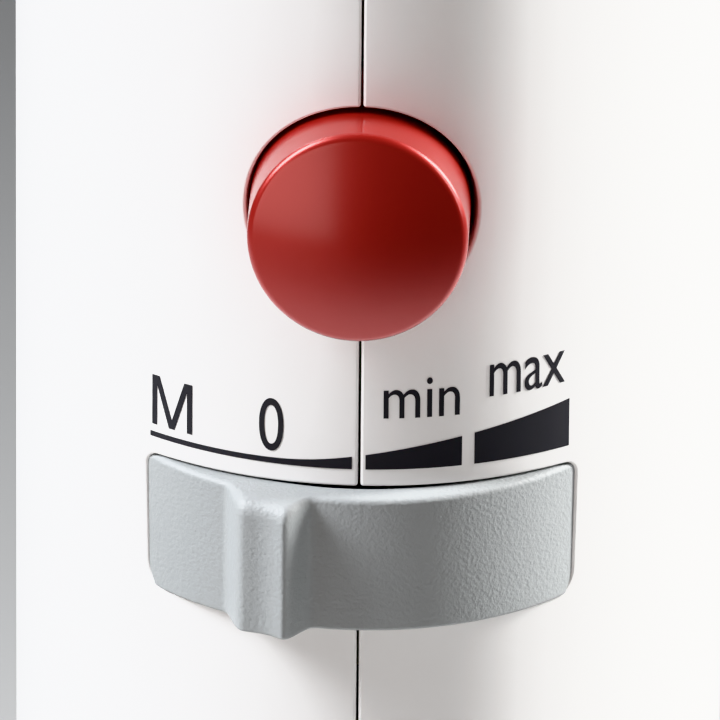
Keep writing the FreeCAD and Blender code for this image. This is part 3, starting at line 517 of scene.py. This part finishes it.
# The mould's parting line is a fine groove down the side wall, above and below.
LINE_DEPTH = 0.06
LINE_HALF = 0.05
LINE_END = rim_depth - 1.2
placed = []
for x, y, z in points:
    radius = math.hypot(x, y)
    if radius > BUTTON_RADIUS - 0.3 and z < LINE_END and abs(x) < LINE_HALF:
        x, y = x * (1 - LINE_DEPTH / radius), y * (1 - LINE_DEPTH / radius)
    slant = max(0.0, (z - RADIUS) / (rim_depth - RADIUS)) * BUTTON_SLANT
    placed.append((x + BUTTON_SHIFT, -z + slant * y, y + BUTTON_Z))

# Red ABS, softly glossy under a clear coat. Its metallic share gives the sheen the red's
# own tint.
RED_METALLIC = 0.55
red_abs = moulded("red_abs_polished", "#A8302B", "#9F2C27", 0.35, 2.0, 0.0015, 1.0)
red_shader = red_abs.node_tree.nodes["Principled BSDF"]
red_shader.inputs["Metallic"].default_value = RED_METALLIC
button = new_piece("release_button", placed, faces, red_abs, "button", None, 35)
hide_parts("eject_button")

# ================================================================ speed drum
# A grey ABS drum that the thumb turns behind the window of the shells. Its band stands a
# little proud, and has one thumb grip moulded across it: a steep left flank, a slightly
# hollow top that rises to a crest, and a steep right flank. The surface is spark eroded.

DRUM_BAND = (-109, 78)
DRUM_INNER = 21.7
DRUM_GAP = 0.16
DRUM_LOW = WINDOW_LOW + DRUM_GAP
DRUM_HIGH = WINDOW_TOP - DRUM_GAP
FILLET_LOW = 0.4
FILLET_GROWTH = 0.4
WEB_HALF = 1.2
PIVOT_BORE = 2.04
PIVOT_BOSS = 5.6
DRUM_FILLET = 0.55
# The grip's corners: angle on the drum, rise above the band, and how far each is softened.
GRIP = ((-40, 0, 0), (-28.2, 0, 1.3), (-22.7, 2.6, 1.2), (-17.5, 2.3, 2.4),
        (-13.2, 3.0, 0.9), (-10.3, 0.25, 1.2), (-8.6, 0, 0.8), (0, 0, 0))


def softened(corners, steps=14):
    """A line through corners (x, y, reach) whose corners become smooth curves."""
    line = [Vector(corners[0][:2])]
    for before, here, after in zip(corners, corners[1:], corners[2:]):
        middle = Vector(here[:2])
        first = Vector(before[:2]) - middle
        last = Vector(after[:2]) - middle
        start = middle + first * min(0.5, here[2] / abs(first.x))
        end = middle + last * min(0.5, here[2] / abs(last.x))
        for step in range(steps + 1):
            part = step / steps
            line.append(start * (1 - part) ** 2 + middle * 2 * part * (1 - part)
                        + end * part ** 2)
    return line + [Vector(corners[-1][:2])]


def sweep(loops, ends=True):
    """Points and faces of a row of equal closed loops, joined in order, with flat ends."""
    count = len(loops[0])
    points = [point for loop in loops for point in loop]
    faces = []
    for row in range(len(loops) - 1):
        for index in range(count):
            after = (index + 1) % count
            faces.append([row * count + index, row * count + after,
                          (row + 1) * count + after, (row + 1) * count + index])
    if ends:
        faces.append(list(reversed(range(count))))
        faces.append([(len(loops) - 1) * count + index for index in range(count)])
    return points, faces


grip_line = softened(GRIP)
grip_angles = [point.x for point in grip_line]
grip_rises = [point.y for point in grip_line]
band_angles = sorted(set(
    [round(angle, 3) for angle in np.arange(DRUM_BAND[0], GRIP[0][0], 1.5)]
    + [round(angle, 3) for angle in np.arange(GRIP[0][0], GRIP[-1][0], 0.25)]
    + [round(angle, 3) for angle in np.arange(GRIP[-1][0], DRUM_BAND[1] + 0.1, 1.5)]))


def drum_loop(angle, inner, outer, low, high, fillet_low, fillet_high):
    """The cross-section of the drum at one angle, rounded on its outer edges."""
    section = rounded([(inner, low, 0), (outer, low, fillet_low),
                       (outer, high, fillet_high), (inner, high, 0)], True, 8)
    turn = angle * DEGREE
    return [(point.x * math.sin(turn), -DRUM_MIDDLE - point.x * math.cos(turn), point.y)
            for point in section]


loops = []
for angle in band_angles:
    rise = float(np.interp(angle, grip_angles, grip_rises))
    loops.append(drum_loop(angle, DRUM_INNER, DRUM_RADIUS + rise, DRUM_LOW, DRUM_HIGH,
                           FILLET_LOW, DRUM_FILLET + FILLET_GROWTH * rise))
points, faces = sweep(loops)
web_z = (DRUM_LOW + DRUM_HIGH) / 2
web = [drum_loop(angle, 5.0, DRUM_INNER + 0.9, web_z - WEB_HALF, web_z + WEB_HALF, 0, 0)
       for angle in np.arange(DRUM_BAND[0], DRUM_BAND[1] + 0.1, 4)]
web_points, web_faces = sweep(web)
faces += [[corner + len(points) for corner in face] for face in web_faces]
points += web_points
drum_box = box_mm("speed_drum")
boss_points, boss_faces = lathe(rounded([
    (PIVOT_BORE, drum_box[0].z, 0), (PIVOT_BOSS, drum_box[0].z, 0.3),
    (PIVOT_BOSS, drum_box[1].z, 0.3), (PIVOT_BORE, drum_box[1].z, 0)]), 64)
faces += [[corner + len(points) for corner in face] for face in boss_faces]
points += [(x, y - DRUM_MIDDLE, z) for x, y, z in boss_points]

# Grey ABS with a spark eroded surface: a matt, even grain of about a quarter millimetre.
grey_abs = moulded("grey_abs_spark_eroded", "#9A9D9D", "#909393", 0.5, 0.33, 0.06)
drum = new_piece("thumb_drum", points, faces, grey_abs, "drum", None, 38)
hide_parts("speed_drum")

# ================================================================ top cap
# A moulded dome in the same white ABS that plugs into the shells and holds them together.

cap_low, cap_high = box_mm("top_cap")
CAP_ROUND = 13
cap_seat = shell_high.z + CAP_GAP
cap_profile = rounded([
    (RADIUS - 4.4, cap_low.z, 0), (RADIUS - 2.4, cap_low.z, 0.3),
    (RADIUS - 2.4, cap_seat, 0), (RADIUS, cap_seat, EDGE_ROUND),
    (RADIUS, cap_high.z, CAP_ROUND), (6.2, cap_high.z, 0.3),
    (6.2, cap_high.z - SHELL_WALL, 0),
    (RADIUS - SHELL_WALL, cap_high.z - SHELL_WALL, CAP_ROUND - SHELL_WALL),
    (RADIUS - SHELL_WALL, cap_low.z + 8, 0),
], True, 6)
points, faces = lathe(cap_profile, 224)
cap = new_piece("dome_cap", points, faces, white_abs, "handle", None, 38)
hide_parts("top_cap")

# ================================================================ cord inlet
# A soft black rubber grommet snapped into the cap. Its outer lip has two fine ribs.

gland_low, gland_high = box_mm("cord_gland")
GLAND_BORE = 3.6
GLAND_NECK = 6.15
GLAND_FLANGE = 7.8
cap_under = cap_high.z - SHELL_WALL
gland_profile = rounded([
    (GLAND_BORE, gland_low.z, 0.3), (GLAND_FLANGE, gland_low.z, 0.3),
    (GLAND_FLANGE, cap_under, 0), (GLAND_NECK, cap_under, 0),
    (GLAND_NECK, cap_high.z + 0.02, 0), (8.0, cap_high.z + 0.02, 0.2),
    (7.6, cap_high.z + 0.9, 0.25), (7.1, cap_high.z + 0.9, 0.15),
    (7.2, cap_high.z + 1.1, 0.1), (6.8, gland_high.z, 0.5), (GLAND_BORE, gland_high.z, 0.5),
])
points, faces = lathe(gland_profile, 128)
# Black rubber: matt, with a dusty, slightly pebbled skin.
rubber = moulded("black_rubber", "#2B2A2B", "#1F1F20", 0.62, 0.5, 0.02)
gland = new_piece("inlet_grommet", points, faces, rubber, "handle", None, 40)
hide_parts("cord_gland")

# ================================================================ foot collar
# The plastic top of the pull-off foot. It flares from the steel tube up to the handle, and
# its neck plugs into the socket. It has the drum's grey and the drum's fine texture.


def double_bend(wide, narrow, tall, share, steps=18):
    """Points (radius, distance) of an S-shaped line that is upright at both ends."""
    step = wide - narrow
    total = (step * step + tall * tall) / (step * 2)
    first, second = total * share, total * (1 - share)
    line = []
    for index in range(steps * 2 + 1):
        down = tall * index / (steps * 2)
        if down <= tall * share:
            line.append((wide - first + math.sqrt(first ** 2 - down ** 2), down))
        else:
            line.append((narrow + second - math.sqrt(second ** 2 - (tall - down) ** 2), down))
    return line


collar_low, collar_high = box_mm("foot_collar")
COLLAR_RADIUS = collar_high.x
COLLAR_FOOT = 14.7
COLLAR_INNER = 12.5
SEAT_GAP = 0.3
seat_z = shell_low.z - SEAT_GAP
NECK_RADIUS = 17.5
NECK_BORE = 13
GROOVE_DEPTH = 1.2
GROOVE_LOW = seat_z + 11.3
GROOVE_HIGH = seat_z + 13.1
flare = [(radius, seat_z - 2 - down, 0) for radius, down
         in double_bend(COLLAR_RADIUS, COLLAR_FOOT, seat_z - 4 - collar_low.z, 0.5)]
collar_profile = rounded([
    (COLLAR_INNER, collar_low.z, 0.2), (COLLAR_FOOT, collar_low.z, 0.6),
    *reversed(flare),
    (COLLAR_RADIUS, seat_z, 0.4), (NECK_RADIUS, seat_z, 0.3),
    (NECK_RADIUS, GROOVE_LOW, 0), (NECK_RADIUS - GROOVE_DEPTH, GROOVE_LOW, 0),
    (NECK_RADIUS - GROOVE_DEPTH, GROOVE_HIGH, 0), (NECK_RADIUS, GROOVE_HIGH, 0),
    (NECK_RADIUS, collar_high.z, 0.8), (NECK_BORE, collar_high.z, 0.6),
    (NECK_BORE, seat_z - 6, 0), (COLLAR_INNER, seat_z - 6, 0),
])
points, faces = lathe(collar_profile, 200)
collar = new_piece("flared_collar", points, faces, grey_abs, "foot", None, 38)
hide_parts("foot_collar")

# ================================================================ foot tube
# A drawn stainless steel tube, brushed round its length, pressed into the collar.


METAL_GLOSS = (0.85, 1.15)
SCRATCH_DEPTH = 0.002


def brushed(name, light, dark, roughness, stretch):
    """Metal with fine streaks that vary its gloss and tone. The stretch is streaks a metre."""
    material, tree, shader = new_material(name, {"Metallic": 1.0})
    place = add(tree, "ShaderNodeTexCoord").outputs["Object"]
    aim = add(tree, "ShaderNodeMapping", {"Scale": stretch}, {"Vector": place})
    streak = add(tree, "ShaderNodeTexNoise", {"Scale": 1.0, "Detail": 4.0},
                 {"Vector": aim.outputs["Vector"]})
    tint = add(tree, "ShaderNodeMix",
               {"data_type": "RGBA", "A": linear(dark), "B": linear(light)},
               {"Factor": streak.outputs["Fac"]})
    gloss = add(tree, "ShaderNodeMapRange", {"To Min": roughness * METAL_GLOSS[0],
                                             "To Max": roughness * METAL_GLOSS[1]},
                {"Value": streak.outputs["Fac"]})
    relief = add(tree, "ShaderNodeBump", {"Strength": 0.5, "Distance": SCRATCH_DEPTH * MM},
                 {"Height": streak.outputs["Fac"]})
    tree.links.new(tint.outputs["Result"], shader.inputs["Base Color"])
    tree.links.new(gloss.outputs["Result"], shader.inputs["Roughness"])
    tree.links.new(relief.outputs["Normal"], shader.inputs["Normal"])
    return material


tube_low, tube_high = box_mm("foot_tube")
TUBE_RADIUS = tube_high.x
TUBE_WALL = 0.8
TUBE_EDGE = 0.15
tube_profile = rounded([
    (TUBE_RADIUS - TUBE_WALL, tube_low.z, 0), (TUBE_RADIUS, tube_low.z, TUBE_EDGE),
    (TUBE_RADIUS, tube_high.z, TUBE_EDGE), (TUBE_RADIUS - TUBE_WALL, tube_high.z, 0),
])
points, faces = lathe(tube_profile, 192)
# Stainless steel brushed round the tube: streaks a tenth of a millimetre apart, drawn at a
# quarter so that they show.
steel_tube = brushed("stainless_brushed_tube", "#D0CFCC", "#C8C7C4", 0.27, (40, 40, 4000))
tube = new_piece("steel_tube", points, faces, steel_tube, "foot", None, 35)
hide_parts("foot_tube")

# ================================================================ bell guard
# One spun sheet of stainless steel round the blade. Four arched openings in its rim let the
# food flow, and its edges are tumbled round.

bell_high = box_mm("bell_guard")[1]
BELL_RADIUS = bell_high.x
BELL_SHEET = 1.0
BELL_NECK = TUBE_RADIUS + BELL_SHEET
BELL_BEND = 50
BELL_RIM = 4
BELL_SHOULDER = 18
BELL_TUMBLED = 0.3
ARCH_HALF = 9.0
ARCH_TALL = 11.0
ARCH_STEPS = 24
GAP_STEPS = 18
bend = double_bend(BELL_RADIUS, BELL_NECK, BELL_BEND - BELL_RIM, 0.55)
bell_heights = [BELL_RIM + down for radius, down in bend]
bell_radii = [radius for radius, down in bend]


def bell_at(height):
    """The bell's outer radius at a height."""
    return float(np.interp(height, bell_heights, bell_radii))


def bell_columns():
    """Angle and rim height of each column round the bell, dense beside the openings."""
    half_turn = ARCH_HALF / BELL_RADIUS
    columns = []
    for quarter in range(4):
        middle = math.pi / 4 + quarter * math.pi / 2
        for step in range(ARCH_STEPS + 1):
            turn = math.pi * (1 - step / ARCH_STEPS)
            x = math.copysign(abs(math.cos(turn)) ** 0.5, math.cos(turn))
            y = abs(math.sin(turn)) ** 0.5
            columns.append((middle + half_turn * x, ARCH_TALL * y))
        gap = math.pi / 2 - half_turn * 2
        columns += [(middle + half_turn + gap * step / GAP_STEPS, 0.0)
                    for step in range(1, GAP_STEPS)]
    return columns


def bell_column(angle, rim):
    """The closed section of the sheet at one angle: outside up, inside down."""
    heights = [rim + (BELL_SHOULDER - rim) * part / 8 for part in range(9)]
    heights += [BELL_SHOULDER + (BELL_BEND - BELL_SHOULDER) * part / 26
                for part in range(1, 27)]
    heights += [BELL_BEND + BELL_RIM, bell_high.z]
    outside = [(bell_at(height), height) for height in heights]
    slopes = np.gradient([radius for radius, height in outside], heights)
    inside_line = []
    for (radius, height), slope in zip(outside, slopes):
        length = math.hypot(1, slope)
        inside_line.append((radius - BELL_SHEET / length,
                            height + BELL_SHEET * slope / length))
    inside_line[0] = (inside_line[0][0], rim + BELL_TUMBLED)
    inside_line[-1] = (inside_line[-1][0], bell_high.z)
    outside[0] = (outside[0][0], rim + BELL_TUMBLED)
    start = (bell_at(rim) - BELL_TUMBLED, rim)
    lip = (bell_at(rim) - BELL_SHEET + BELL_TUMBLED, rim)
    section = [start] + outside + inside_line[::-1] + [lip]
    return [(radius * math.cos(angle), radius * math.sin(angle), height)
            for radius, height in section]


columns = [bell_column(angle, rim) for angle, rim in bell_columns()]
# The last column is the first again, so that its corners are shared.
points, faces = sweep(columns + columns[:1], False)
whole = len(columns) * len(columns[0])
faces = [[corner % whole for corner in face] for face in faces]
points = points[:whole]
# Stainless steel spun on a lathe: rings of fine scratches that catch the light.
steel_bell = brushed("stainless_spun_bell", "#DAD9D6", "#C2C1BE", 0.22, (60, 60, 2600))
bell = new_piece("bell_shroud", points, faces, steel_bell, "foot", None, 40)
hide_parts("bell_guard")

# ================================================================ blade
# A stamped and ground steel blade with two wings, one turned up and one turned down, and
# ground cutting edges. It is clamped on the drive shaft by a nut.

blade_high = box_mm("blade")[1]
nut_high = box_mm("blade_nut")[1]
BLADE_HALF_THICK = 1.2
HUB_Z = nut_high.z + BLADE_HALF_THICK
HUB_BORE = 4.0
HUB_RADIUS = 6.4
BLADE_REACH = blade_high.x
WING_START = 3.6
WING_STEPS = 14
TWIST_START = 6
WING_TWIST = 24 * DEGREE
WING_RISE = 1.5
# Across and up from the wing's middle line: flat faces with an edge ground on each side.
WING_SECTION = ((-1.0, 0.0), (-0.72, -0.5), (0.72, -0.5), (1.0, 0.0), (0.72, 0.5),
                (-0.72, 0.5))
wing_points, wing_faces = [], []
for side in (-1, 1):
    stations = []
    for part in range(WING_STEPS + 1):
        reach = WING_START + (BLADE_REACH - 0.3 - WING_START) * part / WING_STEPS
        share = max(0.0, (reach - TWIST_START) / (BLADE_REACH - TWIST_START))
        half_width = 4.2 + 0.5 * math.sin(math.pi * share) - 1.9 * share ** 2
        tilt = WING_TWIST * share * side
        rise = WING_RISE * share ** 2 * side
        ring_points = []
        for across, up in WING_SECTION:
            y, z = across * half_width, up * BLADE_HALF_THICK
            ring_points.append((reach * side, y * math.cos(tilt) - z * math.sin(tilt),
                                HUB_Z + rise + y * math.sin(tilt) + z * math.cos(tilt)))
        stations.append(ring_points if side > 0 else ring_points[::-1])
    more_points, more_faces = sweep(stations)
    wing_faces += [[corner + len(wing_points) for corner in face] for face in more_faces]
    wing_points += more_points
hub_points, hub_faces = lathe(rounded([
    (HUB_BORE, HUB_Z - BLADE_HALF_THICK, 0), (HUB_RADIUS, HUB_Z - BLADE_HALF_THICK, 0.3),
    (HUB_RADIUS, HUB_Z + BLADE_HALF_THICK, 0.3),
    (HUB_BORE, HUB_Z + BLADE_HALF_THICK, 0)]), 72)
wing_faces += [[corner + len(wing_points) for corner in face] for face in hub_faces]
wing_points += hub_points
# Ground stainless steel: bright and sharp, with grinding lines along the wings.
steel_blade = brushed("stainless_ground_blade", "#DDDCDA", "#C8C7C5", 0.16, (300, 3500, 300))
blade = new_piece("ground_blade", wing_points, wing_faces, steel_blade, "spindle", None, 25)
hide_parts("blade")

# ================================================================ inner pieces
# What the shells and the foot hide keeps its CAD shape. Each piece has the material of the
# real one: turned steel, sintered bronze, enamelled copper wire, glass-filled nylon.

turned_steel = brushed("steel_turned", "#B9B8B6", "#9C9B9A", 0.3, (200, 200, 3000))
laminated_steel = brushed("electrical_steel_stack", "#8A8A8C", "#5F6063", 0.45, (20, 20, 2000))
bronze = brushed("bronze_sintered", "#A8824E", "#8C683A", 0.5, (2500, 2500, 2500))
brass = brushed("brass_turned", "#D2AE62", "#B98F45", 0.3, (200, 200, 3000))
copper = brushed("copper_enamelled_wire", "#C4703C", "#8E4720", 0.33, (150, 150, 2200))
aluminium = brushed("aluminium_extruded", "#C9CACC", "#AEB0B2", 0.35, (2500, 2500, 60))
nylon = moulded("nylon_natural", "#DDD8C8", "#CFC9B6", 0.45, 0.8, 0.01)
black_pbt = moulded("pbt_glass_filled_black", "#2A2A2C", "#1C1C1E", 0.5, 0.4, 0.015)
solder_mask = moulded("solder_resist_green", "#1F5A34", "#174A2A", 0.3, 0.8, 0.01, 0.3)
carbon = moulded("carbon_sintered", "#3A3A3B", "#242425", 0.7, 0.3, 0.03)
blue_pvc = moulded("pvc_blue_insulation", "#2B4C8C", "#213F78", 0.4, 0.8, 0.008)
INNER_PIECES = {
    turned_steel: ("housing_pins", "clamp_screws", "drum_pivot_pin", "bearing_lower",
                   "bearing_upper", "motor_bolts", "socket_screws",
                   "motor_shaft", "drive_shaft", "shaft_circlip"),
    laminated_steel: ("stator_core", "rotor_core"),
    bronze: ("bush_lower", "bush_upper"),
    brass: ("brush_holders", "commutator", "drum_wiper"),
    copper: ("field_coils", "rotor_windings", "choke_coil"),
    aluminium: ("heat_sink",),
    nylon: ("cord_clamp", "terminal_block", "drum_cradle", "button_guide", "socket_sleeve",
            "button_plunger", "ejector_rod", "ejector_ring"),
    black_pbt: ("speed_sensor", "capacitor", "motor_frame_lower", "motor_frame_upper",
                "cooling_fan", "drive_coupler", "driven_coupler", "seal_carrier",
                "blade_spacer"),
    solder_mask: ("control_board",),
    carbon: ("carbon_brushes",),
    blue_pvc: ("supply_leads", "motor_leads"),
    rubber: ("motor_dampers", "shaft_seal", "neck_o_ring"),
    steel_blade: ("blade_nut",),
}
for material, names in INNER_PIECES.items():
    for name in names:
        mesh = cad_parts[name].data
        mesh.materials.clear()
        mesh.materials.append(material)

# ================================================================ return spring
# A coil of stainless steel spring wire between the guide and the button's flange, which
# pushes the button out again after a press. It is built at one fixed length.

SPRING_WIRE = 0.4
SPRING_TURNS = 4.5
STEPS_PER_TURN = 40
WIRE_SIDES = 12
spring_low, spring_high = box_mm("button_spring")
spring_long = spring_high.y - spring_low.y
coil_radius = (spring_high.x - spring_low.x) / 2 - SPRING_WIRE
wire_loops = []
for step in range(int(SPRING_TURNS * STEPS_PER_TURN) + 1):
    turn = 2 * math.pi * step / STEPS_PER_TURN
    part = step / (SPRING_TURNS * STEPS_PER_TURN)
    middle_y = spring_high.y - SPRING_WIRE - part * (spring_long - 2 * SPRING_WIRE)
    wire_loop = []
    for side in range(WIRE_SIDES):
        lean = 2 * math.pi * side / WIRE_SIDES
        reach = coil_radius + SPRING_WIRE * math.cos(lean)
        wire_loop.append((reach * math.cos(turn), middle_y + SPRING_WIRE * math.sin(lean),
                          BUTTON_Z + reach * math.sin(turn)))
    wire_loops.append(wire_loop)
points, faces = sweep(wire_loops)
return_spring = new_piece("return_spring", points, faces, turned_steel, "handle", None, 50)
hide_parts("button_spring")
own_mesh(return_spring)

# ================================================================ floor
# A plain pale floor for the blender to stand on.

FLOOR_HALF = 6000
FLOOR_Z = -0.2
floor_material, tree, shader = new_material("pale_floor", {"Base Color": linear("#C8C8C7"),
                                                           "Roughness": 0.7})
floor_mesh = bpy.data.meshes.new("floor")
corners = [(-1, -1), (1, -1), (1, 1), (-1, 1)]
floor_mesh.from_pydata([(x * FLOOR_HALF * MM, y * FLOOR_HALF * MM, FLOOR_Z * MM)
                        for x, y in corners], [], [(0, 1, 2, 3)])
floor_mesh.materials.append(floor_material)
floor = bpy.data.objects.new("floor", floor_mesh)
bpy.context.collection.objects.link(floor)

# ================================================================ light
# A dim tent with one large soft light on each side, so the front is the darkest stretch.
# A wide warm card in front puts a sheen on the button, and a faint light at the right
# front fills the far half of the drum.

world = bpy.data.worlds.new("studio")
bpy.context.scene.world = world
world.use_nodes = True
tent = world.node_tree.nodes["Background"]
tent.inputs["Color"].default_value = linear("#F6F8FB")
tent.inputs["Strength"].default_value = 0.08
bpy.context.scene.view_settings.view_transform = "Khronos PBR Neutral"


LIT_HEIGHT = 0.3


def from_handle(azimuth, elevation):
    """The direction from the handle at an azimuth counted from the front, in degrees."""
    turn, lift = azimuth * DEGREE, elevation * DEGREE
    return Vector((math.sin(turn) * math.cos(lift), -math.cos(turn) * math.cos(lift),
                   math.sin(lift)))


def soft_light(name, azimuth, elevation, distance, wide, tall, power, colour, spread=60):
    """A rectangular light that faces the controls. Its lengths are in metres."""
    lamp = bpy.data.lights.new(name, "AREA")
    lamp.shape = "RECTANGLE"
    lamp.size, lamp.size_y = wide, tall
    lamp.energy = power
    lamp.color = linear(colour)[:3]
    lamp.spread = spread * DEGREE
    holder = bpy.data.objects.new(name, lamp)
    bpy.context.collection.objects.link(holder)
    back = from_handle(azimuth, elevation)
    holder.location = Vector((0, 0, LIT_HEIGHT)) + back * distance
    holder.rotation_euler = back.to_track_quat("Z", "Y").to_euler()
    holder.visible_camera = False


soft_light("left_light", -80, 42, 1.5, 0.35, 0.9, 7.6, "#F7FAFF")
soft_light("right_light", 107, 25, 1.5, 0.3, 0.9, 10.0, "#FFFFFF")
soft_light("front_card", -27, 6, 1.2, 0.85, 0.7, 2.9, "#FFF0EB", 180)
soft_light("right_card", 75, 15, 1.5, 0.3, 0.9, 0.6, "#FFFFFF")

# ================================================================ camera
# Close in front of the controls, looking down on them by about a quarter of a right angle.

VIEW_AZIMUTH = 1.77
VIEW_ELEVATION = 25.59
VIEW_ROLL = 0.465
VIEW_DISTANCE = 1500
VIEW_WIDTH = 61.5
VIEW_DROP = 13.72
SENSOR_WIDTH = 36

camera_data = bpy.data.cameras.new("camera")
camera_data.sensor_width = SENSOR_WIDTH
camera_data.lens = SENSOR_WIDTH * VIEW_DISTANCE / VIEW_WIDTH
camera_data.clip_start, camera_data.clip_end = 0.1, 30
camera = bpy.data.objects.new("camera", camera_data)
bpy.context.collection.objects.link(camera)
back = from_handle(VIEW_AZIMUTH, VIEW_ELEVATION)
target = Vector((0, -RADIUS, BUTTON_Z - VIEW_DROP))
camera.location = (target + back * VIEW_DISTANCE) * MM
camera.rotation_euler = back.to_track_quat("Z", "Y").to_euler()
camera.rotation_euler.rotate_axis("Z", VIEW_ROLL * DEGREE)
bpy.context.scene.camera = camera
